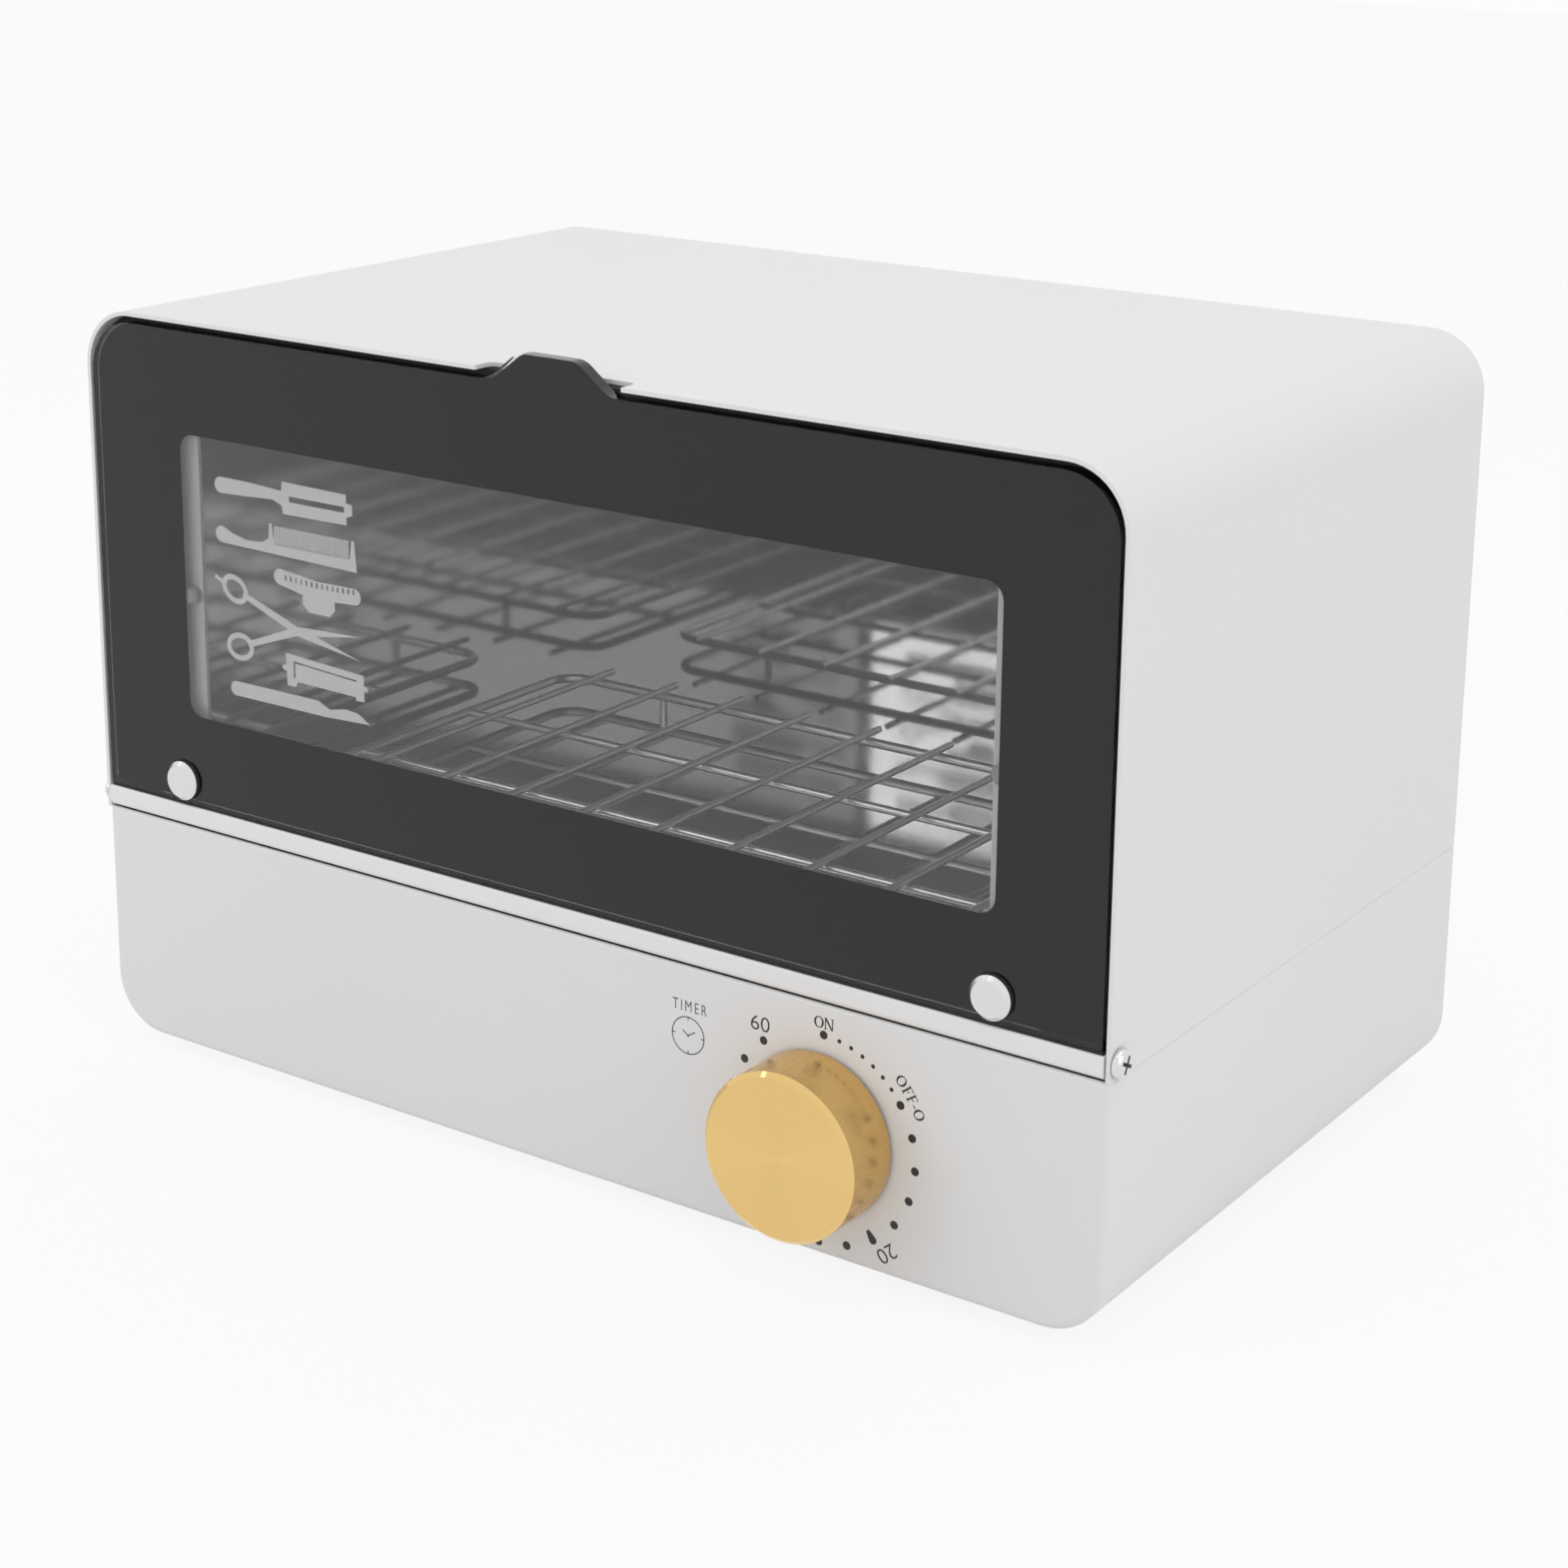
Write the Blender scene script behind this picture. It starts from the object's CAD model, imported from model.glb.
# %% [markdown]
# # A bench sterilizer cabinet, dressed for its portrait
# The sheet metal case, its glass door, the rack and the timer come from an exact model in metres, which is
# loaded first and never moved. This lesson gives each of those pieces its finish, and adds the small things
# that are printed on them or pressed into them.

# %% Load the exact model
import math

import bpy
from mathutils import Matrix, Vector


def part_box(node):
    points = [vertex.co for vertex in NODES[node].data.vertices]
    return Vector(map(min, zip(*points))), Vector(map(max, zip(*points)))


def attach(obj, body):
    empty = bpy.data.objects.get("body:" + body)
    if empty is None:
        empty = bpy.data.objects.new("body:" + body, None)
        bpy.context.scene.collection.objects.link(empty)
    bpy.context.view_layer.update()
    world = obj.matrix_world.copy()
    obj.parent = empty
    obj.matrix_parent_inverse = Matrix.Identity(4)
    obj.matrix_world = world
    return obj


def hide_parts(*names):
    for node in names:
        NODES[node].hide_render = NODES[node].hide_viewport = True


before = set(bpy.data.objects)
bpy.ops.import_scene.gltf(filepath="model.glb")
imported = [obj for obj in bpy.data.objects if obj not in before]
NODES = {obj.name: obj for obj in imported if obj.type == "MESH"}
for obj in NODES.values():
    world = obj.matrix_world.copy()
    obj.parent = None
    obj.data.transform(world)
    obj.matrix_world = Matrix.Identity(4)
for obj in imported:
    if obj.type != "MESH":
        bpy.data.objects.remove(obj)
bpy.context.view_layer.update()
MM = 0.001

# %% [markdown]
# ## Where things are
# A few places are read from the loaded pieces, so that what is added later sits where the model says. The
# front of the lower case is the plane the dial is printed on, and the back of the glass is the plane the
# white pictures are printed on.

# %% Read the planes and centres
case_low, case_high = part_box("outer_shell")
glass_low, glass_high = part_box("door_glass")
knob_low, knob_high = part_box("timer_knob")
front_y = case_low.y
glass_back_y = glass_high.y
knob_centre = (knob_low + knob_high) / 2
print("front plane", round(front_y / MM, 2), "glass back", round(glass_back_y / MM, 2))
print("knob centre", [round(v / MM, 2) for v in knob_centre])

# %% [markdown]
# ## The camera
# A product camera stands in front and to the right, a little above the top of the case, with a long lens. The
# picture was cropped above its middle, so a small shift moves the view down without tilting the camera
# further, which keeps the upright edges nearly upright.

# %% Place the camera
CAMERA_PLACE = Vector((500.49, -708.51, 387.29)) * MM
CAMERA_YAW = math.radians(34.704)
CAMERA_PITCH = math.radians(14.513)
CAMERA_ROLL = math.radians(0.534)
SENSOR = 36.0
LENS = 70.62
SHIFT = -0.15

bpy.ops.object.camera_add(location=CAMERA_PLACE)
camera = bpy.context.object
camera.name = "product_camera"
forward = Vector((
    -math.sin(CAMERA_YAW) * math.cos(CAMERA_PITCH),
    math.cos(CAMERA_YAW) * math.cos(CAMERA_PITCH),
    -math.sin(CAMERA_PITCH),
))
level_right = Vector((math.cos(CAMERA_YAW), math.sin(CAMERA_YAW), 0))
level_up = level_right.cross(forward)
right = level_right * math.cos(CAMERA_ROLL) + level_up * math.sin(CAMERA_ROLL)
up = level_up * math.cos(CAMERA_ROLL) - level_right * math.sin(CAMERA_ROLL)
camera.rotation_mode = "QUATERNION"
camera.rotation_quaternion = Matrix((right, up, -forward)).transposed().to_quaternion()
camera.data.sensor_width = SENSOR
camera.data.lens = LENS
camera.data.shift_y = SHIFT
camera.data.clip_start = 10 * MM
camera.data.clip_end = 20.0
bpy.context.scene.camera = camera
print("camera looks along", [round(v, 3) for v in forward])

# %% [markdown]
# ## The studio
# White goods are shot in a light tent: soft light from all round, a little more from above and from the left,
# and a background that stays white without pouring more light on the object. The world is white where the
# camera, a mirror or a pane of glass looks at it, and a little dimmer where it lights the object.

# %% Set the view and build the world
scene = bpy.context.scene
scene.view_settings.view_transform = "Standard"

BACKGROUND = (0.982, 0.982, 0.982, 1)
WORLD_LIGHT = (0.945, 0.945, 0.955, 1)
WORLD_LIGHT_STRENGTH = 0.82

world = bpy.data.worlds.new("light_tent")
scene.world = world
world.use_nodes = True
tree = world.node_tree
tree.nodes.clear()
output = tree.nodes.new("ShaderNodeOutputWorld")
mix = tree.nodes.new("ShaderNodeMixShader")
lighting = tree.nodes.new("ShaderNodeBackground")
lighting.inputs["Color"].default_value = WORLD_LIGHT
lighting.inputs["Strength"].default_value = WORLD_LIGHT_STRENGTH
backdrop = tree.nodes.new("ShaderNodeBackground")
backdrop.inputs["Color"].default_value = BACKGROUND
backdrop.inputs["Strength"].default_value = 1.0


def seen_directly(node_tree):
    """A value of 1 where the camera, a reflection or a pane of glass looks, and 0 where light is gathered."""
    path = node_tree.nodes.new("ShaderNodeLightPath")
    first = node_tree.nodes.new("ShaderNodeMath")
    first.operation = "MAXIMUM"
    node_tree.links.new(path.outputs["Is Camera Ray"], first.inputs[0])
    node_tree.links.new(path.outputs["Is Glossy Ray"], first.inputs[1])
    second = node_tree.nodes.new("ShaderNodeMath")
    second.operation = "MAXIMUM"
    node_tree.links.new(first.outputs[0], second.inputs[0])
    node_tree.links.new(path.outputs["Is Transmission Ray"], second.inputs[1])
    return second.outputs[0]


tree.links.new(seen_directly(tree), mix.inputs["Fac"])
tree.links.new(lighting.outputs[0], mix.inputs[1])
tree.links.new(backdrop.outputs[0], mix.inputs[2])
tree.links.new(mix.outputs[0], output.inputs["Surface"])
print("world strength for lighting:", WORLD_LIGHT_STRENGTH)

# %% Hang the soft lights
LIGHTS = {
    "top_panel": {"place": (0, 0, 1.5), "aim": (0, 0, 0.1), "size": 1.6, "power": 5},
    "left_panel": {"place": (-1.3, -1.3, 0.9), "aim": (0, 0, 0.1), "size": 1.2, "power": 6},
    "right_panel": {"place": (1.6, -0.3, 0.8), "aim": (0, 0, 0.1), "size": 1.2, "power": 5},
}


def soft_panel(name, place, aim, size, power):
    """A square panel of light that faces the object."""
    bpy.ops.object.light_add(type="AREA", location=place)
    panel = bpy.context.object
    panel.name = name
    panel.data.size = size
    panel.data.energy = power
    panel.rotation_mode = "QUATERNION"
    panel.rotation_quaternion = (Vector(place) - Vector(aim)).to_track_quat("Z", "Y")
    return panel


for light_name, light in LIGHTS.items():
    soft_panel(light_name, **light)
print("soft lights:", len(LIGHTS))

# %% [markdown]
# ## The floor
# The table under the object is as white as the backdrop. Its material is a plain matte white for the light
# that falls on it, so it keeps a soft shadow, and it is mixed with the backdrop's white where the camera sees
# it, so that no horizon shows.

# %% Lay the floor
FLOOR_HALF = 4.0
FLOOR_SHARE = 0.9
FLOOR_WHITE = (0.86, 0.86, 0.86, 1)

bpy.ops.mesh.primitive_plane_add(size=2 * FLOOR_HALF, location=(0, 0, 0))
floor = bpy.context.object
floor.name = "studio_floor"
floor_material = bpy.data.materials.new("floor_white")
floor_material.use_nodes = True
tree = floor_material.node_tree
tree.nodes.clear()
output = tree.nodes.new("ShaderNodeOutputMaterial")
matte = tree.nodes.new("ShaderNodeBsdfDiffuse")
matte.inputs["Color"].default_value = FLOOR_WHITE
glow = tree.nodes.new("ShaderNodeEmission")
glow.inputs["Color"].default_value = BACKGROUND
share = tree.nodes.new("ShaderNodeMath")
share.operation = "MULTIPLY"
share.inputs[1].default_value = FLOOR_SHARE
mix = tree.nodes.new("ShaderNodeMixShader")
tree.links.new(seen_directly(tree), share.inputs[0])
tree.links.new(share.outputs[0], mix.inputs["Fac"])
tree.links.new(matte.outputs[0], mix.inputs[1])
tree.links.new(glow.outputs[0], mix.inputs[2])
tree.links.new(mix.outputs[0], output.inputs["Surface"])
floor.data.materials.append(floor_material)
print("floor laid:", floor.name)

# %% [markdown]
# ## Finishes: the helpers
# Each finish below is one Principled shader with a little noise of its own: real paint, rubber and metal are
# never one flat colour. The helpers make the shader, add a noise at a given size in millimetres, turn a noise
# into a bump, and turn it into a gentle change of colour or roughness.

# %% Start a finish and give it grain
def new_finish(name, color, roughness, metallic=0.0, **sockets):
    """A material with one Principled shader. Further sockets are set by name, with _ for each space."""
    material = bpy.data.materials.new(name)
    material.use_nodes = True
    shader = material.node_tree.nodes["Principled BSDF"]
    shader.inputs["Base Color"].default_value = (*color, 1)
    shader.inputs["Roughness"].default_value = roughness
    shader.inputs["Metallic"].default_value = metallic
    for socket, value in sockets.items():
        shader.inputs[socket.replace("_", " ")].default_value = value
    return material, shader


def noise(material, size_mm, detail=3.0, stretch=(1, 1, 1)):
    """Noise whose grains are about size_mm across, longer along an axis where stretch is below 1."""
    tree = material.node_tree
    place = tree.nodes.new("ShaderNodeTexCoord")
    turn = tree.nodes.new("ShaderNodeMapping")
    turn.inputs["Scale"].default_value = stretch
    grain = tree.nodes.new("ShaderNodeTexNoise")
    grain.inputs["Scale"].default_value = 1 / (size_mm * MM)
    grain.inputs["Detail"].default_value = detail
    tree.links.new(place.outputs["Object"], turn.inputs["Vector"])
    tree.links.new(turn.outputs["Vector"], grain.inputs["Vector"])
    return grain.outputs["Fac"]


print("a grain of 1 mm has scale", 1 / MM)

# %% Turn the grain into bumps and shades
def bump(material, shader, height, depth_mm, strength=1.0):
    """The height, 0 to 1, becomes a bump depth_mm deep. A second bump is laid over the first."""
    tree = material.node_tree
    node = tree.nodes.new("ShaderNodeBump")
    node.inputs["Strength"].default_value = strength
    node.inputs["Distance"].default_value = depth_mm * MM
    tree.links.new(height, node.inputs["Height"])
    if shader.inputs["Normal"].is_linked:
        tree.links.new(shader.inputs["Normal"].links[0].from_socket, node.inputs["Normal"])
    tree.links.new(node.outputs["Normal"], shader.inputs["Normal"])


def vary(material, shader, socket, height, low, high):
    """A number or colour that runs from low to high with the height."""
    tree = material.node_tree
    if isinstance(low, tuple):
        node = tree.nodes.new("ShaderNodeMix")
        node.data_type = "RGBA"
        node.inputs["A"].default_value = (*low, 1)
        node.inputs["B"].default_value = (*high, 1)
        tree.links.new(height, node.inputs["Factor"])
        tree.links.new(node.outputs["Result"], shader.inputs[socket])
        return
    node = tree.nodes.new("ShaderNodeMapRange")
    node.inputs["To Min"].default_value = low
    node.inputs["To Max"].default_value = high
    tree.links.new(height, node.inputs["Value"])
    tree.links.new(node.outputs["Result"], shader.inputs[socket])


def dress(material, *names):
    """Gives loaded pieces their finish."""
    for name in names:
        mesh = NODES[name].data
        mesh.materials.clear()
        mesh.materials.append(material)
    print(material.name, "on", ", ".join(names))


print("bare pieces to dress:", len(NODES))

# %% [markdown]
# ## Powder-coated sheet
# The case is sheet steel with a white-grey powder coat. Powder coat flows to a satin skin with a very fine
# orange peel: a bump of a few hundredths of a millimetre about a millimetre across. A second, wider noise
# changes the roughness a little, as hands and baking do.

# %% Paint the case, the bar and the inner frame
def powder_coat(name, color, roughness, peel_mm):
    """Satin paint with orange peel."""
    material, shader = new_finish(name, color, roughness, Specular_IOR_Level=0.4)
    tone = tuple(v * 0.985 for v in color)
    vary(material, shader, "Base Color", noise(material, 60, 2), color, tone)
    vary(material, shader, "Roughness", noise(material, 22, 3), roughness - 0.04, roughness + 0.05)
    bump(material, shader, noise(material, 1.3, 2), peel_mm)
    bump(material, shader, noise(material, 0.25, 1), peel_mm * 0.25)
    return material


case_paint = powder_coat("case_powder_coat", (0.72, 0.72, 0.725), 0.48, 0.012)
bar_paint = powder_coat("bar_powder_coat", (0.76, 0.76, 0.765), 0.3, 0.006)
frame_paint = powder_coat("frame_enamel", (0.62, 0.62, 0.62), 0.4, 0.008)
dress(case_paint, "outer_shell", "back_panel")
dress(bar_paint, "hinge_bar")
dress(frame_paint, "front_frame")

# %% [markdown]
# ## The glass door
# The pane is clear glass with polished edges. Its wide dark border is printed on the back, so the print has
# the glass's gloss over it and shows no gloss of its own. The faint noise is the print's own unevenness.

# %% Make the glass and its printed border
GLASS_TINT = (0.965, 0.968, 0.97)
door_glass_finish, shader = new_finish(
    "door_glass", GLASS_TINT, 0.0, Transmission_Weight=1.0, IOR=1.5
)
vary(door_glass_finish, shader, "Roughness", noise(door_glass_finish, 30, 2), 0.0, 0.012)
PRINT_DARK = (0.061, 0.061, 0.063)
PRINT_PALE = (0.067, 0.067, 0.069)
border_print, shader = new_finish("border_print", PRINT_DARK, 0.6, Specular_IOR_Level=0.1)
vary(border_print, shader, "Base Color", noise(border_print, 8, 3), PRINT_DARK, PRINT_PALE)
dress(door_glass_finish, "door_glass")
dress(border_print, "door_border")

# %% [markdown]
# ## Rubber
# The seal, the washers, the feet and the bumpers are rubber: rough, nearly black or grey, with a dusty bloom
# that a noise spreads over the colour.

# %% Mould the rubber
def rubber(name, color, roughness):
    """Matte rubber with a dusty bloom and a fine moulded grain."""
    material, shader = new_finish(name, color, roughness, Specular_IOR_Level=0.3)
    bloom = tuple(min(1, v + 0.02) for v in color)
    vary(material, shader, "Base Color", noise(material, 6, 4), color, bloom)
    bump(material, shader, noise(material, 0.4, 2), 0.03)
    return material


black_rubber = rubber("black_rubber", (0.012, 0.012, 0.012), 0.75)
grey_rubber = rubber("grey_rubber", (0.3, 0.3, 0.3), 0.6)
dress(black_rubber, "door_seal", "feet", "clamp_washers", "glass_gasket")
dress(grey_rubber, "door_bumpers")

# %% [markdown]
# ## Metals
# Bright steel is a mirror with hairlines, zinc plating is duller and mottled, and the rack's wire is plated
# over drawn steel. The chamber is bent from bright sheet, so it mirrors the rack, the lamp and the window in
# a slightly wavy way, with faint rolling lines from side to side.

# %% Write the bright and the plated metal
def bright_metal(name, color, roughness, hairline_mm, stretch):
    """Polished metal with hairlines along the axis where stretch is small."""
    material, shader = new_finish(name, color, roughness, metallic=1.0)
    lines = noise(material, hairline_mm, 4, stretch)
    vary(material, shader, "Roughness", lines, max(0.02, roughness - 0.05), roughness + 0.07)
    bump(material, shader, lines, 0.004)
    return material


def plated_metal(name, color, roughness):
    """Dull plating with a mottled sheen."""
    material, shader = new_finish(name, color, roughness, metallic=1.0)
    mottle = noise(material, 2.5, 5)
    vary(material, shader, "Roughness", mottle, roughness - 0.08, roughness + 0.1)
    vary(material, shader, "Base Color", mottle, color, tuple(v * 0.88 for v in color))
    bump(material, shader, noise(material, 0.5, 3), 0.008)
    return material


print("two kinds of metal: bright and plated")

# %% Finish the metals
bright_steel = bright_metal("bright_steel", (0.72, 0.72, 0.73), 0.16, 0.4, (0.1, 1, 1))
zinc = plated_metal("zinc_plating", (0.55, 0.56, 0.57), 0.4)
can_aluminium = plated_metal("drawn_aluminium", (0.68, 0.69, 0.7), 0.33)
pin_plating = plated_metal("pin_plating", (0.66, 0.53, 0.28), 0.3)
dress(bright_steel, "clamp_buttons", "timer_shaft", "hinge_screws")
dress(zinc, "foot_screws", "holder_screws", "timer_screws", "ballast_screws", "back_screws")
dress(can_aluminium, "lamp_caps", "starter")
dress(pin_plating, "inlet_pins")

# %% Plate the rack's wire
rack_plating, shader = new_finish("rack_plating", (0.8, 0.8, 0.81), 0.34, metallic=0.75)
drawn = noise(rack_plating, 0.7, 4)
vary(rack_plating, shader, "Roughness", drawn, 0.26, 0.42)
vary(rack_plating, shader, "Base Color", noise(rack_plating, 9, 3), (0.82, 0.82, 0.83), (0.7, 0.7, 0.7))
bump(rack_plating, shader, drawn, 0.01)
dress(rack_plating, "wire_rack")

# %% Bend the chamber from bright sheet
chamber_sheet, shader = new_finish("chamber_sheet", (0.52, 0.52, 0.525), 0.06, metallic=1.0)
rolling = noise(chamber_sheet, 1.2, 3, (0.03, 1, 1))
vary(chamber_sheet, shader, "Roughness", rolling, 0.03, 0.1)
bump(chamber_sheet, shader, noise(chamber_sheet, 90, 1), 0.10)
bump(chamber_sheet, shader, rolling, 0.001)
dress(chamber_sheet, "chamber_liner")

# %% [markdown]
# ## The gold knob
# The knob is turned from aluminium, anodised gold, and its rim is then cut once more with a diamond tool,
# which leaves a narrow mirror. The cutter leaves rings round the face, so light spreads across them: the
# shader gets this from its anisotropy and a tangent that runs round the knob's axis. The rings are a fine
# bump by distance from the axis, and the drawn side has faint streaks along the axis.

# %% Measure the knob's zones
KNOB_COLOR = (0.80, 0.55, 0.22)
RING_PITCH = 0.35
KNOB_RIM = 1.2
KNOB_STREAK = (0.78, 0.44, 0.14)
knob_radius = (knob_high.x - knob_low.x) / 2
gold, shader = new_finish("gold_anodising", KNOB_COLOR, 0.3, metallic=1.0, Anisotropic=0.8)
tree = gold.node_tree


def node_math(operation, first, second):
    """One step of arithmetic in the knob's material."""
    node = tree.nodes.new("ShaderNodeMath")
    node.operation = operation
    for socket, value in zip(node.inputs, (first, second)):
        if isinstance(value, (int, float)):
            socket.default_value = value
        else:
            tree.links.new(value, socket)
    return node.outputs[0]


print("knob radius in mm:", round(knob_radius / MM, 2))

# %% Tell the face, the rim and the side apart
place = tree.nodes.new("ShaderNodeTexCoord")
centred = tree.nodes.new("ShaderNodeVectorMath")
centred.operation = "SUBTRACT"
centred.inputs[1].default_value = (knob_centre.x, knob_low.y, knob_centre.z)
flat = tree.nodes.new("ShaderNodeVectorMath")
flat.operation = "MULTIPLY"
flat.inputs[1].default_value = (1, 0, 1)
distance = tree.nodes.new("ShaderNodeVectorMath")
distance.operation = "LENGTH"
tree.links.new(place.outputs["Object"], centred.inputs[0])
tree.links.new(centred.outputs[0], flat.inputs[0])
tree.links.new(flat.outputs[0], distance.inputs[0])
from_axis = distance.outputs["Value"]
split = tree.nodes.new("ShaderNodeSeparateXYZ")
tree.links.new(centred.outputs[0], split.inputs[0])
beyond_face = node_math("GREATER_THAN", from_axis, knob_radius - KNOB_RIM * MM)
before_side = node_math("LESS_THAN", split.outputs["Y"], KNOB_RIM * MM)
on_rim = node_math("MULTIPLY", beyond_face, before_side)
on_side = node_math("SUBTRACT", beyond_face, on_rim)
print("face ends at mm:", round(knob_radius / MM - KNOB_RIM, 2))

# %% Turn and anodise the knob
rings = tree.nodes.new("ShaderNodeTexNoise")
rings.noise_dimensions = "1D"
rings.inputs["Scale"].default_value = 1 / (RING_PITCH * MM)
rings.inputs["Detail"].default_value = 4
tree.links.new(from_axis, rings.inputs["W"])
streaks = noise(gold, 2.2, 4, (1, 0.02, 1))
turned = node_math("MULTIPLY", rings.outputs["Fac"], node_math("SUBTRACT", 1, beyond_face))
drawn_side = node_math("MULTIPLY", streaks, on_side)
grain = node_math("ADD", turned, drawn_side)
rough = node_math("ADD", node_math("MULTIPLY", grain, 0.16), 0.2)
unpolished = node_math("SUBTRACT", 1, node_math("MULTIPLY", on_rim, 0.75))
polished = node_math("MULTIPLY", rough, unpolished)
tree.links.new(polished, shader.inputs["Roughness"])
bump(gold, shader, turned, 0.004)
tone = node_math("MULTIPLY", drawn_side, 0.6)
vary(gold, shader, "Base Color", tone, KNOB_COLOR, KNOB_STREAK)
around = tree.nodes.new("ShaderNodeTangent")
around.direction_type = "RADIAL"
around.axis = "Y"
tree.links.new(around.outputs["Tangent"], shader.inputs["Tangent"])
dress(gold, "timer_knob")

# %% [markdown]
# ## Mouldings, lamp and varnish
# The parts that a user never sees still get their finishes: white lamp holders, a black timer body, an
# ivory terminal block, a varnished ballast, and the lamp's clear tube.

# %% Finish the mouldings and the lamp
def moulding(name, color, roughness):
    """Moulded plastic with a fine spark-eroded grain."""
    material, shader = new_finish(name, color, roughness, Specular_IOR_Level=0.45)
    vary(material, shader, "Base Color", noise(material, 12, 2), color, tuple(v * 0.94 for v in color))
    bump(material, shader, noise(material, 0.35, 2), 0.02)
    return material


dress(moulding("white_moulding", (0.72, 0.72, 0.69), 0.45), "lamp_holders", "starter_base")
dress(moulding("black_moulding", (0.018, 0.018, 0.019), 0.5), "timer_body", "mains_inlet")
dress(moulding("ivory_moulding", (0.62, 0.6, 0.5), 0.5), "terminal_block")
varnish, shader = new_finish("ballast_varnish", (0.03, 0.032, 0.036), 0.45, Coat_Weight=0.4)
bump(varnish, shader, noise(varnish, 0.5, 1, (0.02, 1, 1)), 0.1)
dress(varnish, "ballast")
lamp_glass, shader = new_finish("lamp_glass", (0.95, 0.97, 1.0), 0.03, Transmission_Weight=0.85, IOR=1.48)
vary(lamp_glass, shader, "Roughness", noise(lamp_glass, 20, 2), 0.02, 0.06)
dress(lamp_glass, "lamp_tube")

# %% [markdown]
# ## Flat prints: the helpers
# The dial's dots, figures and the tool pictures are ink: flat shapes a few hundredths of a millimetre
# thick. Each is drawn as a flat outline in the plane of the front, filled, given its thickness, and made a
# mesh with its place in its vertices. Ink on the front lies just proud of the paint, and the pictures lie
# on the back of the glass.

# %% Draw an outline and make it ink
INK = 0.04
INK_GAP = 0.01


def clear_selection():
    """Nothing is selected, so that the next operator acts on the new piece alone."""
    bpy.ops.object.select_all(action="DESELECT")


def outline_curve(name, loops):
    """A flat filled curve from closed loops, in millimetres across and up. Inner loops are holes."""
    curve = bpy.data.curves.new(name, "CURVE")
    curve.dimensions = "2D"
    curve.fill_mode = "BOTH"
    for loop in loops:
        spline = curve.splines.new("POLY")
        spline.points.add(len(loop) - 1)
        for point, (across, rise) in zip(spline.points, loop):
            point.co = (across * MM, rise * MM, 0, 1)
        spline.use_cyclic_u = True
    shape = bpy.data.objects.new(name, curve)
    scene.collection.objects.link(shape)
    return shape


def print_on(shape, y, turn=0.0, at=(0, 0), width=1.0):
    """Makes a flat curve or text a thin mesh that stands at y, turned clockwise by degrees."""
    shape.data.extrude = INK * MM / 2
    clear_selection()
    shape.select_set(True)
    bpy.context.view_layer.objects.active = shape
    bpy.ops.object.convert(target="MESH")
    shape = bpy.context.object
    squeeze = Matrix.Diagonal((width, 1, 1, 1))
    spin = Matrix.Rotation(-math.radians(turn), 4, "Z")
    stand = Matrix.Rotation(math.radians(90), 4, "X")
    place = Matrix.Translation((at[0] * MM, y, at[1] * MM))
    shape.data.transform(place @ stand @ spin @ squeeze)
    return shape


def join(name, shapes, material, body):
    """Joins printed shapes into one piece, gives it its ink, and lets it ride on a body."""
    clear_selection()
    for shape in shapes:
        shape.select_set(True)
    bpy.context.view_layer.objects.active = shapes[0]
    if len(shapes) > 1:
        bpy.ops.object.join()
    piece = bpy.context.object
    piece.name = name
    piece.data.name = name
    piece.data.materials.clear()
    piece.data.materials.append(material)
    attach(piece, body)
    print(name, "faces", len(piece.data.polygons))
    return piece


print("ink in mm:", INK)

# %% Write arcs, rings, ovals and strokes
def arc(centre, radius, start, end, steps=12):
    """Points on an arc, in degrees from the right-hand side, counted anticlockwise."""
    turns = [math.radians(start + (end - start) * i / steps) for i in range(steps + 1)]
    return [(centre[0] + radius * math.cos(t), centre[1] + radius * math.sin(t)) for t in turns]


def ring(centre, radius, steps=36):
    """A closed circle of points."""
    return arc(centre, radius, 0, 360 - 360 / steps, steps - 1)


def oval(centre, across, rise, steps=36, tilt=0.0):
    """A closed oval with half widths across and rise, tilted anticlockwise by degrees."""
    turn = Matrix.Rotation(math.radians(tilt), 2)
    points = [turn @ Vector((x * across, z * rise)) for x, z in ring((0, 0), 1, steps)]
    return [(centre[0] + point.x, centre[1] + point.y) for point in points]


def stroke(start, end, width):
    """A thin bar from one point to another."""
    along = Vector((end[0] - start[0], end[1] - start[1]))
    side = Vector((-along.y, along.x)).normalized() * width / 2
    corners = [Vector(start) + side, Vector(start) - side, Vector(end) - side, Vector(end) + side]
    return [(c.x, c.y) for c in corners]


print("a ring has", len(ring((0, 0), 1)), "points")

# %% [markdown]
# ## The dial
# A clockwork timer turns clockwise from OFF to sixty minutes, and back past OFF to ON, which stays on. Its
# marks lie on one circle round the knob: a dot every four minutes, small dots between ON and OFF, and a
# drop that points inwards at twenty.

# %% Ink the dial's dots
DIAL_RADIUS = 29.3
DOT_RADIUS = 1.2
SMALL_DOT_RADIUS = 0.6
SCALE_START = 56.8
SCALE_STEP = 17.64
SCALE_STEPS = 15
ON_ANGLE = 1.3
SMALL_DOTS = 6
SMALL_DOT_START = 10.9
SMALL_DOT_STEP = 7.4
DROP_STEP = 5
DROP_LENGTH = 2.9
DROP_TIP = 0.55

dial_ink, shader = new_finish("dial_ink", (0.012, 0.012, 0.012), 0.5)
vary(dial_ink, shader, "Base Color", noise(dial_ink, 1.5, 3), (0.010, 0.010, 0.010), (0.02, 0.02, 0.02))
DIAL_OFFSET = (0.8, -1.2)
dial_centre = (knob_centre.x / MM + DIAL_OFFSET[0], knob_centre.z / MM + DIAL_OFFSET[1])
ink_y = front_y - INK * MM / 2


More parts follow.
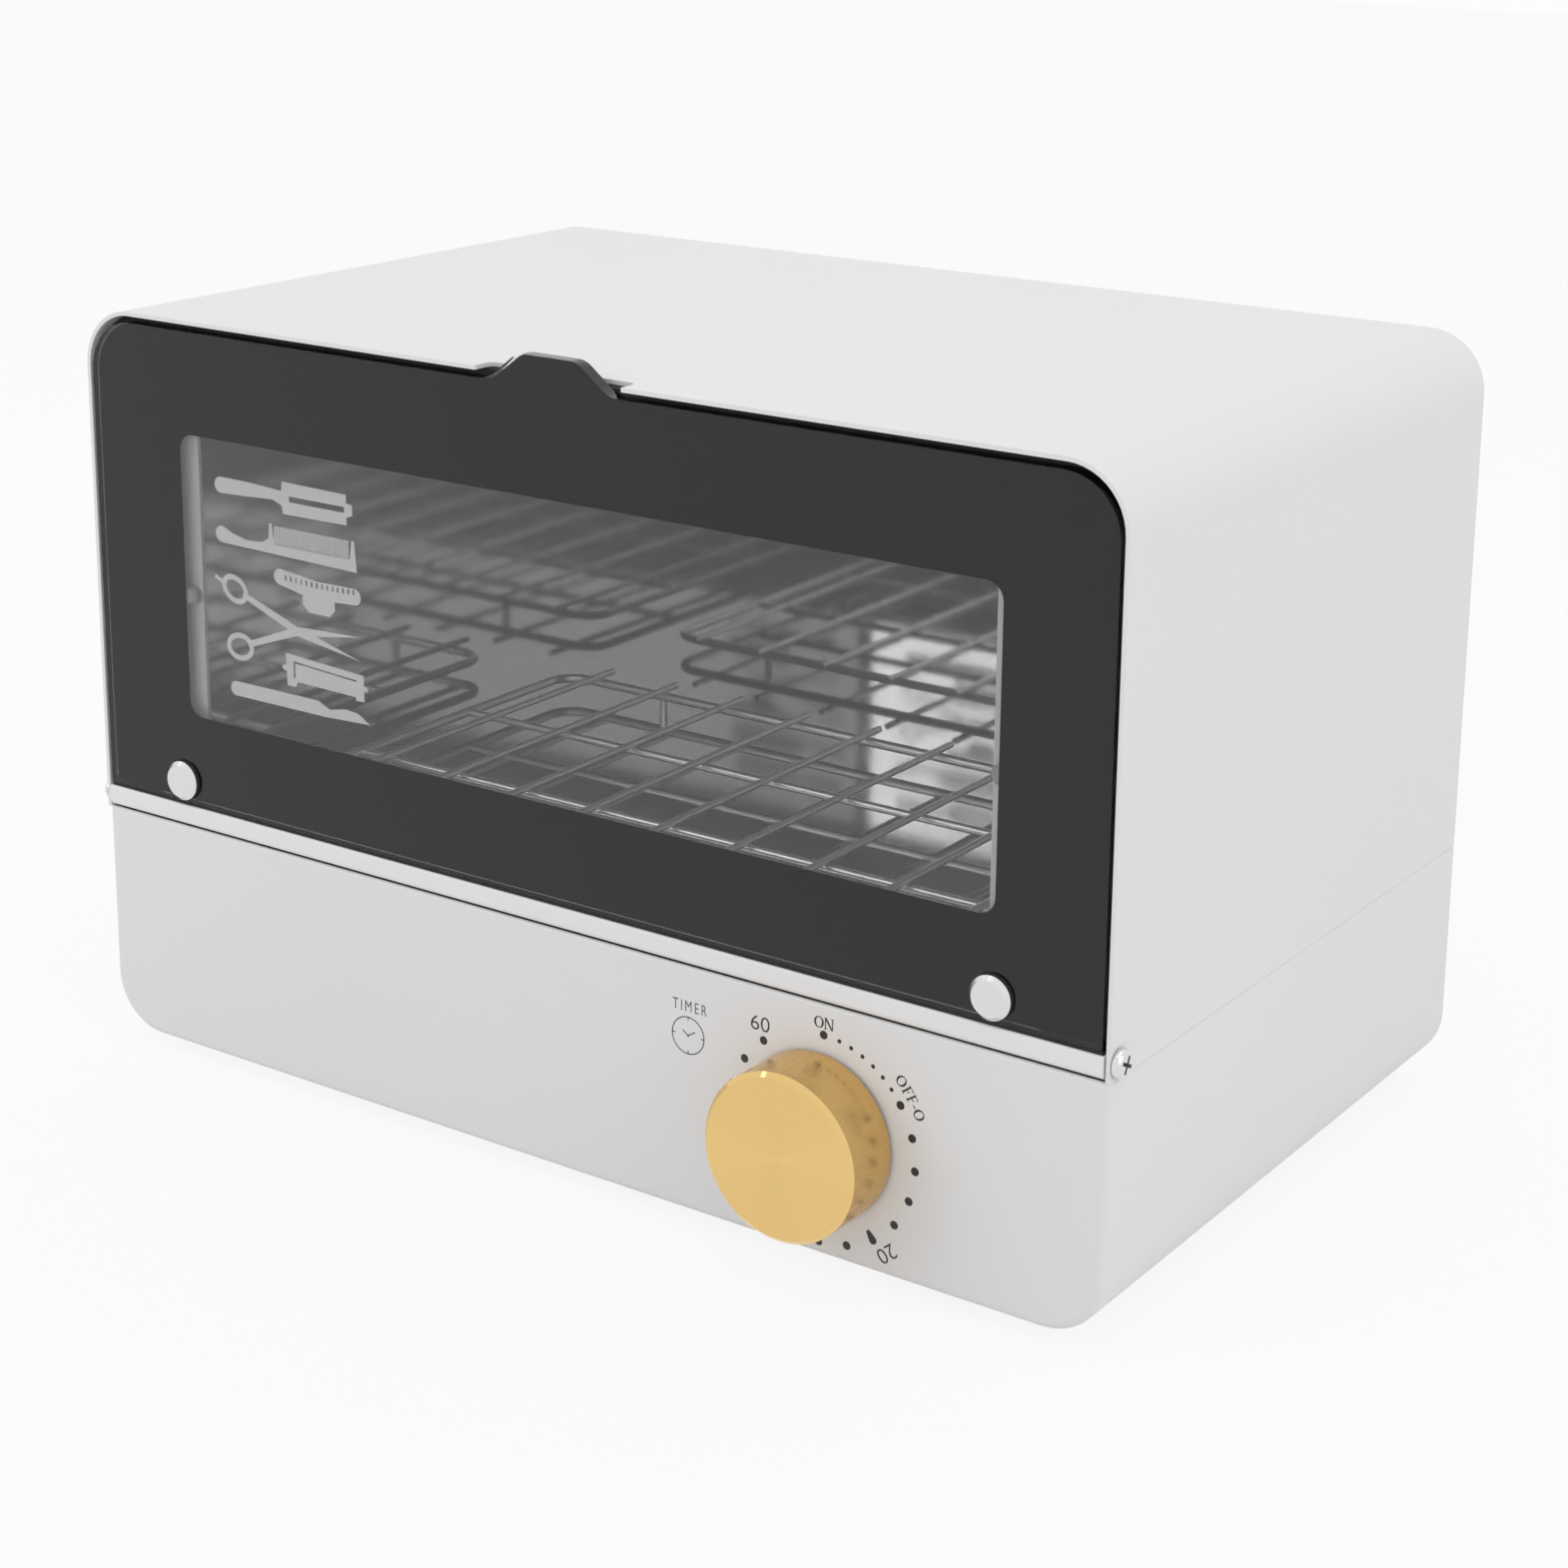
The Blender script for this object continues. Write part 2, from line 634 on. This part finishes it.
def on_dial(angle, radius):
    """The place at an angle clockwise from the top of the dial, in millimetres across and up."""
    turn = math.radians(angle)
    return (dial_centre[0] + radius * math.sin(turn), dial_centre[1] + radius * math.cos(turn))


dots = [
    (on_dial(SCALE_START + SCALE_STEP * i, DIAL_RADIUS), DOT_RADIUS)
    for i in range(SCALE_STEPS + 1)
    if i != DROP_STEP
]
dots.append((on_dial(ON_ANGLE, DIAL_RADIUS), DOT_RADIUS))
dots += [
    (on_dial(SMALL_DOT_START + SMALL_DOT_STEP * i, DIAL_RADIUS), SMALL_DOT_RADIUS)
    for i in range(SMALL_DOTS)
]
dial_shapes = [
    print_on(outline_curve("dot", [ring((0, 0), radius, 24)]), ink_y, at=place) for place, radius in dots
]
drop_angle = SCALE_START + SCALE_STEP * DROP_STEP
drop = arc((0, 0), DOT_RADIUS, 0, 180, 12) + [(-DROP_TIP, -DROP_LENGTH), (DROP_TIP, -DROP_LENGTH)]
drop_place = on_dial(drop_angle, DIAL_RADIUS)
dial_shapes.append(print_on(outline_curve("drop", [drop]), ink_y, drop_angle, drop_place))
join("dial_marks", dial_shapes, dial_ink, "cabinet")

# %% [markdown]
# ## The figures
# The numbers and TIMER are text objects in Blender's own font, thinned a little, then turned to lie along
# the dial's circle. ON and OFF-0 are set in a face with serifs and with thick and thin strokes, which is
# easier to build from a few bars and rings than to bend from a plain font. Their bars are given as shares of
# the letter's height.

# %% Build the letters with serifs
LETTER_PARTS = {
    "N": [
        [(0.08, 0.02), (0.17, 0.02), (0.17, 0.98), (0.08, 0.98)],
        [(0.76, 0.02), (0.85, 0.02), (0.85, 0.98), (0.76, 0.98)],
        [(0.02, 1.0), (0.23, 1.0), (0.85, 0.0), (0.70, 0.0)],
        [(-0.02, 0.0), (0.26, 0.0), (0.26, 0.05), (-0.02, 0.05)],
        [(0.66, 0.95), (0.96, 0.95), (0.96, 1.0), (0.66, 1.0)],
    ],
    "F": [
        [(0.10, 0.02), (0.26, 0.02), (0.26, 0.98), (0.10, 0.98)],
        [(0.0, 0.0), (0.38, 0.0), (0.38, 0.05), (0.0, 0.05)],
        [(0.0, 0.94), (0.64, 0.94), (0.64, 1.0), (0.0, 1.0)],
        [(0.59, 0.76), (0.64, 0.76), (0.64, 0.96), (0.59, 0.96)],
        [(0.24, 0.49), (0.48, 0.49), (0.48, 0.54), (0.24, 0.54)],
        [(0.44, 0.40), (0.49, 0.40), (0.49, 0.63), (0.44, 0.63)],
    ],
    "-": [[(0.0, 0.32), (0.34, 0.32), (0.34, 0.41), (0.0, 0.41)]],
}
LETTER_WIDTHS = {"O": 0.94, "N": 0.94, "F": 0.64, "-": 0.34}
ROUND_THICK = 0.18
ROUND_THIN = 0.07


def serif_letter(letter, height, angle, at):
    """One letter, its middle at a place, turned clockwise by degrees."""
    half = LETTER_WIDTHS[letter] / 2
    if letter == "O":
        outside = oval((0, 0), half * height, height / 2)
        inside = oval((0, 0), (half - ROUND_THICK) * height, (0.5 - ROUND_THIN) * height)
        groups = [[outside, inside]]
    else:
        groups = [
            [[((x - half) * height, (z - 0.5) * height) for x, z in part]]
            for part in LETTER_PARTS[letter]
        ]
    return [print_on(outline_curve("letter_part", loops), ink_y, angle, at) for loops in groups]


print("letters with serifs:", "".join(LETTER_WIDTHS))

# %% Set ON and OFF-0
LETTER_HEIGHT = 3.2
ON_RADIUS = 32.6
ON_SHIFTS = (-1.6, 1.55)
OFF_RADIUS = 33.6
OFF_ANGLES = (47.3, 52.3, 56.4, 59.8, 63.8)
letter_shapes = []
for letter, shift in zip("ON", ON_SHIFTS):
    top = on_dial(ON_ANGLE, ON_RADIUS)
    letter_shapes += serif_letter(letter, LETTER_HEIGHT, 0, (top[0] + shift, top[1]))
for letter, angle in zip("OFF-O", OFF_ANGLES):
    letter_shapes += serif_letter(letter, LETTER_HEIGHT, angle, on_dial(angle, OFF_RADIUS))
join("dial_letters", letter_shapes, dial_ink, "cabinet")

# %% Ink the numbers and the word
CAPITAL_SHARE = 0.72
THINNING = -0.05
FIGURE_HEIGHT = 4.3
FIGURE_WIDTH = 1.1
SIXTY_ANGLE = -35.6
SIXTY_RADIUS = 33.4
TWENTY_ANGLE = 141.4
TWENTY_RADIUS = 33.8
WORD_HEIGHT = 3.3
WORD_WIDTH = 0.72
WORD_SPACING = 1.35
WORD_CENTRE = (46.8, 63.6)


def word(text, height, at, turn, width, spacing=1.0):
    """Thin text with capitals of a height in millimetres, centred at a place, turned by degrees."""
    data = bpy.data.curves.new("word", "FONT")
    data.body = text
    data.size = height / CAPITAL_SHARE * MM
    data.align_x = "CENTER"
    data.align_y = "CENTER"
    data.space_character = spacing
    data.offset = THINNING * MM
    shape = bpy.data.objects.new("word_" + text, data)
    scene.collection.objects.link(shape)
    return print_on(shape, ink_y, turn, at, width)


words = [
    word("60", FIGURE_HEIGHT, on_dial(SIXTY_ANGLE, SIXTY_RADIUS), 0, FIGURE_WIDTH),
    word("20", FIGURE_HEIGHT, on_dial(TWENTY_ANGLE, TWENTY_RADIUS), TWENTY_ANGLE, FIGURE_WIDTH),
    word("TIMER", WORD_HEIGHT, WORD_CENTRE, 0, WORD_WIDTH, WORD_SPACING),
]
join("dial_figures", words, dial_ink, "cabinet")

# %% [markdown]
# ## The clock mark
# Beside the dial is a small clock: a thin ring, four short ticks and two hands.

# %% Ink the clock mark
CLOCK_CENTRE = (46.3, 55.4)
CLOCK_RADIUS = 5.4
CLOCK_LINE = 0.28
TICK_LENGTH = 1.1
HAND_TAIL = 0.4
HANDS = ((-55, 2.2), (58, 2.7))

clock_outer = ring((0, 0), CLOCK_RADIUS, 64)
clock_inner = ring((0, 0), CLOCK_RADIUS - CLOCK_LINE, 64)
clock_shapes = [print_on(outline_curve("clock_ring", [clock_outer, clock_inner]), ink_y, at=CLOCK_CENTRE)]
for quarter in range(4):
    tick = stroke((0, CLOCK_RADIUS - TICK_LENGTH), (0, CLOCK_RADIUS - CLOCK_LINE / 2), CLOCK_LINE)
    clock_shapes.append(print_on(outline_curve("tick", [tick]), ink_y, 90 * quarter, CLOCK_CENTRE))
for hand_turn, length in HANDS:
    hand = stroke((0, -HAND_TAIL), (0, length), CLOCK_LINE)
    clock_shapes.append(print_on(outline_curve("hand", [hand]), ink_y, hand_turn, CLOCK_CENTRE))
join("clock_mark", clock_shapes, dial_ink, "cabinet")

# %% [markdown]
# ## The tool pictures
# Six plain pictures of grooming tools are printed in pale ink on the back of the glass, at the window's
# left, to show what the cabinet is for. Each is a generic outline: a few points and arcs for the handle, and
# a loop inside it wherever the glass shows through.

# %% Mix the pale ink
picture_ink, shader = new_finish("picture_ink", (0.74, 0.74, 0.74), 0.6, Specular_IOR_Level=0.2)
vary(picture_ink, shader, "Base Color", noise(picture_ink, 5, 3), (0.75, 0.75, 0.75), (0.70, 0.70, 0.70))
picture_y = glass_back_y + (INK / 2 + INK_GAP) * MM
print("pictures at y in mm:", round(picture_y / MM, 3))

# %% Outline the brush and the comb
brush = [
    arc((-122.8, 182.0), 2.4, 80, 280, 10)
    + [(-112.6, 180.0), (-102.6, 180.6), (-99.0, 179.4), (-98.4, 176.9), (-74.2, 177.2), (-74.2, 179.4)]
    + [(-72.0, 180.2), (-72.0, 183.2), (-74.2, 183.6), (-74.2, 186.0), (-98.6, 186.4), (-99.0, 183.6)]
    + [(-112.6, 184.3)],
    [(-96.0, 180.7), (-96.0, 182.4), (-75.0, 182.4), (-75.0, 180.7)],
]
comb = [
    arc((-122.9, 167.4), 2.5, 60, 270, 10)
    + [(-70.8, 164.0), (-71.6, 173.0), (-72.6, 173.0)]
    + [(-73.4, 167.6), (-102.4, 167.6), (-103.2, 173.4), (-104.0, 173.4), (-104.6, 168.8), (-107.0, 167.4)]
    + [(-113.0, 167.0), (-118.6, 168.2)]
]
print("points in the brush:", len(brush[0]))

# %% Outline the clip and its notches
NOTCHES = 14
NOTCH_START = -98.6
NOTCH_PITCH = 2.0
NOTCH_WIDTH = 0.7
NOTCH_HEIGHT = 1.6
NOTCH_FLOOR = 157.6
NOTCH_SAG = 0.6

clip = [
    arc((-100.4, 158.2), 2.4, 90, 250, 8)
    + [(-91.8, 154.2), (-91.8, 151.4), (-89.6, 149.4), (-81.6, 149.4), (-79.6, 151.4), (-79.6, 154.0)]
    + arc((-72.0, 156.8), 2.4, 270, 450, 10)
    + [(-86.0, 159.0)],
]
for notch in range(NOTCHES):
    middle = NOTCH_START + notch * NOTCH_PITCH + NOTCH_WIDTH / 2
    foot = NOTCH_FLOOR - NOTCH_SAG * math.sin(math.pi * (notch + 2) / (NOTCHES + 3))
    clip.append(stroke((middle, foot), (middle, foot + NOTCH_HEIGHT), NOTCH_WIDTH))
print("notches in the clip:", NOTCHES)

# %% Outline the case and the razor
case_outline = [
    [(-99.2, 135.8), (-69.2, 134.2), (-69.2, 131.0), (-67.8, 131.0), (-67.8, 129.6), (-69.2, 129.6)]
    + [(-69.2, 126.4), (-72.4, 126.4), (-72.4, 127.4), (-94.8, 127.8), (-95.4, 126.2), (-98.8, 126.2)]
    + [(-99.0, 130.4), (-100.6, 130.8), (-100.6, 132.0), (-99.0, 132.4)],
    [(-96.2, 133.8), (-72.0, 132.4), (-72.0, 131.9), (-95.6, 133.2), (-95.6, 128.9), (-96.2, 128.9)],
]
razor = [
    arc((-119.4, 121.5), 2.2, 90, 270, 8)
    + [(-84.0, 119.3), (-75.6, 119.7), (-67.2, 120.0), (-71.8, 122.6), (-76.4, 123.0), (-82.6, 121.8)]
    + [(-87.0, 123.7)],
]
print("points in the razor:", len(razor[0]))

# %% Print the five outlines and the comb's teeth
TEETH = 40
TOOTH_START = -102.2
TOOTH_PITCH = 0.72
TOOTH_LOW = 167.4
TOOTH_HIGH = 172.9
TOOTH_LEAN = 0.2
TOOTH_WIDTH = 0.5

outlines = {"brush": brush, "comb": comb, "clip": clip, "case": case_outline, "razor": razor}
pictures = [print_on(outline_curve(label, loops), picture_y) for label, loops in outlines.items()]
for tooth in range(TEETH):
    foot = TOOTH_START + tooth * TOOTH_PITCH
    tooth_outline = stroke((foot, TOOTH_LOW), (foot + TOOTH_LEAN, TOOTH_HIGH), TOOTH_WIDTH)
    pictures.append(print_on(outline_curve("tooth", [tooth_outline]), picture_y))
print("pictures drawn:", len(pictures))

# %% [markdown]
# The scissors are two crossed halves. Each half is an oval ring and one long shape from the ring over the
# pivot to the tip, printed as shapes of their own that lie a hair apart, so that no two share a plane.

# %% Draw the scissors
PIVOT = (-94.3, 143.0)
BLADE_WIDTH = 2.6
SHANK_WIDTHS = (1.8, 2.6)
RING_WALL = 1.6
BLADE_ROOT = 1.5
LAYER = 0.015
HALVES = (
    {"ring_centre": (-118.5, 151.6), "ring_half": (5.3, 4.1), "tilt": -25, "tip": (-70.2, 138.2)},
    {"ring_centre": (-117.2, 134.5), "ring_half": (5.4, 4.2), "tilt": 5, "tip": (-69.9, 145.3)},
)
FINGER_REST = ((-123.2, 153.0), (-126.4, 154.4), 1.1)


def blade_and_ring(ring_centre, ring_half, tilt, tip):
    """One half of the scissors: an oval ring, then a shank to the pivot and a blade to its tip."""
    pivot = Vector(PIVOT)
    to_pivot = (pivot - Vector(ring_centre)).normalized()
    side = Vector((-to_pivot.y, to_pivot.x))
    outer = oval(ring_centre, *ring_half, 40, tilt)
    inner = oval(ring_centre, ring_half[0] - RING_WALL, ring_half[1] - RING_WALL, 32, tilt)
    joint = Vector(ring_centre) + to_pivot * (min(ring_half) - RING_WALL / 2)
    to_tip = (Vector(tip) - pivot).normalized()
    across = Vector((-to_tip.y, to_tip.x)) * BLADE_WIDTH / 2
    at_ring = side * SHANK_WIDTHS[0] / 2
    at_pivot = side * SHANK_WIDTHS[1] / 2
    root = pivot + to_tip * BLADE_ROOT
    shank = [
        joint + at_ring, pivot + at_pivot, root + across, Vector(tip),
        root - across, pivot - at_pivot, joint - at_ring,
    ]
    return [outer, inner], [[(p.x, p.y) for p in shank]]


parts = [loops for half in HALVES for loops in blade_and_ring(**half)]
parts.append([stroke(*FINGER_REST)])
for layer, loops in enumerate(parts):
    pictures.append(print_on(outline_curve("scissor_part", loops), picture_y + layer * LAYER * MM))
join("tool_pictures", pictures, picture_ink, "door")

# %% [markdown]
# ## Cross-head screws
# A pan head is a low dome with a cross pressed into it. The head starts as a short cylinder whose top edge
# is bevelled round into a dome. A cross-shaped cutter that narrows inwards is taken out of each copy of it,
# at an angle of its own, because screws stop where they are tight. The cutter has its own dark finish, which
# the cut hands to the walls of the recess: the press leaves them rough and oily.

# %% Make the cross-shaped cutter
recess_steel, shader = new_finish("recess_steel", (0.12, 0.12, 0.12), 0.6, metallic=0.6)
vary(recess_steel, shader, "Roughness", noise(recess_steel, 0.8, 3), 0.5, 0.75)
TAPER_LENGTH = 0.35
TAPER_WIDTH = 0.6


def make_active(piece):
    """Selects one object alone and makes it the active one."""
    clear_selection()
    piece.select_set(True)
    bpy.context.view_layer.objects.active = piece


def cross_cutter(reach, width, depth):
    """Two crossed bars that narrow towards their far end, half above and half below z = 0."""
    bars = []
    for turn in (0, 90):
        clear_selection()
        bpy.ops.mesh.primitive_cube_add(size=1, location=(0, 0, 0))
        bar = bpy.context.object
        bpy.ops.object.mode_set(mode="EDIT")
        bpy.ops.mesh.select_all(action="SELECT")
        bpy.ops.transform.resize(value=(2 * reach * MM, width * MM, 2 * depth * MM))
        bpy.ops.object.mode_set(mode="OBJECT")
        for vertex in bar.data.vertices:
            if vertex.co.z < 0:
                vertex.co.x *= TAPER_LENGTH
                vertex.co.y *= TAPER_WIDTH
        bar.data.transform(Matrix.Rotation(math.radians(turn), 4, "Z"))
        bar.data.materials.append(recess_steel)
        bars.append(bar)
    make_active(bars[0])
    weld = bars[0].modifiers.new("weld", "BOOLEAN")
    weld.operation = "UNION"
    weld.object = bars[1]
    bpy.ops.object.modifier_apply(modifier="weld")
    bpy.data.objects.remove(bars[1])
    return bars[0]


print("cutter taper:", TAPER_LENGTH, TAPER_WIDTH)

# %% Model one head and one shank
DOME = 0.8


def head_blank(radius, height, finish):
    """A pan head along +Z with its seat at z = 0 and no recess yet, sizes in millimetres."""
    clear_selection()
    bpy.ops.mesh.primitive_cylinder_add(vertices=48, radius=radius * MM, depth=height * MM)
    head = bpy.context.object
    head.data.materials.append(finish)
    head.data.transform(Matrix.Translation((0, 0, height * MM / 2)))
    bpy.ops.object.mode_set(mode="EDIT")
    bpy.ops.mesh.select_mode(type="FACE")
    bpy.ops.mesh.select_all(action="DESELECT")
    bpy.ops.object.mode_set(mode="OBJECT")
    for face in head.data.polygons:
        face.select = face.normal.z > 0.9
    bpy.ops.object.mode_set(mode="EDIT")
    bpy.ops.mesh.bevel(offset=height * DOME * MM, segments=7, profile=0.5, affect="EDGES")
    bpy.ops.object.mode_set(mode="OBJECT")
    return head


def shank_blank(radius, length, finish):
    """The screw's shank below its seat, which reaches a hair into the head."""
    clear_selection()
    bpy.ops.mesh.primitive_cylinder_add(vertices=32, radius=radius * MM, depth=length * MM)
    shank = bpy.context.object
    shank.data.materials.append(finish)
    shank.data.transform(Matrix.Translation((0, 0, -length * MM / 2 + 0.01 * MM)))
    return shank


print("dome takes", DOME, "of a head's height")

# %% Press the cross and join the shank
CROSS_REACH = 0.9
CROSS_WIDTH = 0.3
CROSS_DEPTH = 0.9
CUTTER_RISE = 0.05


def own_copy(piece, name):
    """A copy of an object with a mesh of its own."""
    twin = piece.copy()
    twin.data = piece.data.copy()
    twin.name = name
    scene.collection.objects.link(twin)
    return twin


def pressed_screw(name, blank, shank, radius, height, turn):
    """A copy of the blank with the cross pressed in at an angle, and a copy of the shank."""
    head = own_copy(blank, name)
    cutter = cross_cutter(radius * CROSS_REACH, radius * CROSS_WIDTH, height * CROSS_DEPTH)
    lift = Matrix.Translation((0, 0, (height + CUTTER_RISE) * MM))
    cutter.data.transform(lift @ Matrix.Rotation(turn, 4, "Z"))
    make_active(head)
    press = head.modifiers.new("press", "BOOLEAN")
    press.operation = "DIFFERENCE"
    press.material_mode = "TRANSFER"
    press.object = cutter
    bpy.ops.object.modifier_apply(modifier="press")
    bpy.data.objects.remove(cutter)
    make_active(head)
    own_copy(shank, name + "_shank").select_set(True)
    bpy.ops.object.join()
    bpy.ops.object.shade_smooth_by_angle(angle=math.radians(35))
    return head


print("cross reaches", CROSS_REACH, "of a head's radius")

# %% Find where each screw stands
def solids_of(node):
    """Low and high corners of each loose solid in a loaded piece, found by growing over shared places."""
    mesh = NODES[node].data
    keys = [tuple(round(v / (0.01 * MM)) for v in vertex.co) for vertex in mesh.vertices]
    parent = {key: key for key in keys}

    def root(key):
        while parent[key] != key:
            parent[key] = parent[parent[key]]
            key = parent[key]
        return key

    for face in mesh.polygons:
        first = root(keys[face.vertices[0]])
        for corner in face.vertices[1:]:
            parent[root(keys[corner])] = first
    groups = {}
    for key, vertex in zip(keys, mesh.vertices):
        groups.setdefault(root(key), []).append(vertex.co)
    corners = []
    for points in groups.values():
        lowest = Vector([min(p[i] for p in points) for i in range(3)])
        highest = Vector([max(p[i] for p in points) for i in range(3)])
        corners.append((lowest, highest))
    return corners


print("hinge screws found:", len(solids_of("hinge_screws")))

# %% Write the helper that sets a group of screws
FIRST_TURN = 0.4
NEXT_TURN = 0.7


def set_screws(name, node, axis, sizes, body, finish):
    """One cross-head screw in the box of each solid of a loaded piece, its head outwards along the axis."""
    head_radius, head_height, shank_radius = sizes
    along = max(range(3), key=lambda i: abs(axis[i]))
    places = solids_of(node)
    length = (places[0][1] - places[0][0])[along] / MM
    blank = head_blank(head_radius, head_height, finish)
    shank = shank_blank(shank_radius, length - head_height, finish)
    made = []
    for number, (low, high) in enumerate(places):
        centre = (low + high) / 2
        outward = Vector(axis)
        if along == 0 and centre.x < 0:
            outward = -outward
        turn = FIRST_TURN + number * NEXT_TURN
        screw = pressed_screw(f"{name}_{number}", blank, shank, head_radius, head_height, turn)
        seat = centre + outward * (length / 2 - head_height) * MM
        aim = Vector((0, 0, 1)).rotation_difference(outward).to_matrix().to_4x4()
        screw.data.transform(Matrix.Translation(seat) @ aim)
        made.append(screw)
    bpy.data.objects.remove(blank)
    bpy.data.objects.remove(shank)
    clear_selection()
    for screw in made:
        screw.select_set(True)
    bpy.context.view_layer.objects.active = made[0]
    bpy.ops.object.join()
    piece = bpy.context.object
    piece.name = name
    piece.data.name = name
    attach(piece, body)
    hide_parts(node)
    print(name, "screws", len(made), "faces", len(piece.data.polygons))


print("screws turn by", NEXT_TURN, "from one to the next")

# %% Set the hinge, back and foot screws
# Head radius, head height and shank radius, in millimetres
HINGE_SCREW = (4.0, 2.2, 2.0)
BACK_SCREW = (3.0, 1.8, 1.6)
FOOT_SCREW = (3.2, 1.0, 1.6)
set_screws("hinge_cross_screws", "hinge_screws", (1, 0, 0), HINGE_SCREW, "door", bright_steel)
set_screws("back_cross_screws", "back_screws", (0, 1, 0), BACK_SCREW, "cabinet", zinc)
set_screws("foot_cross_screws", "foot_screws", (0, 0, -1), FOOT_SCREW, "cabinet", zinc)

# %% Write the two boxes and finish
clear_selection()
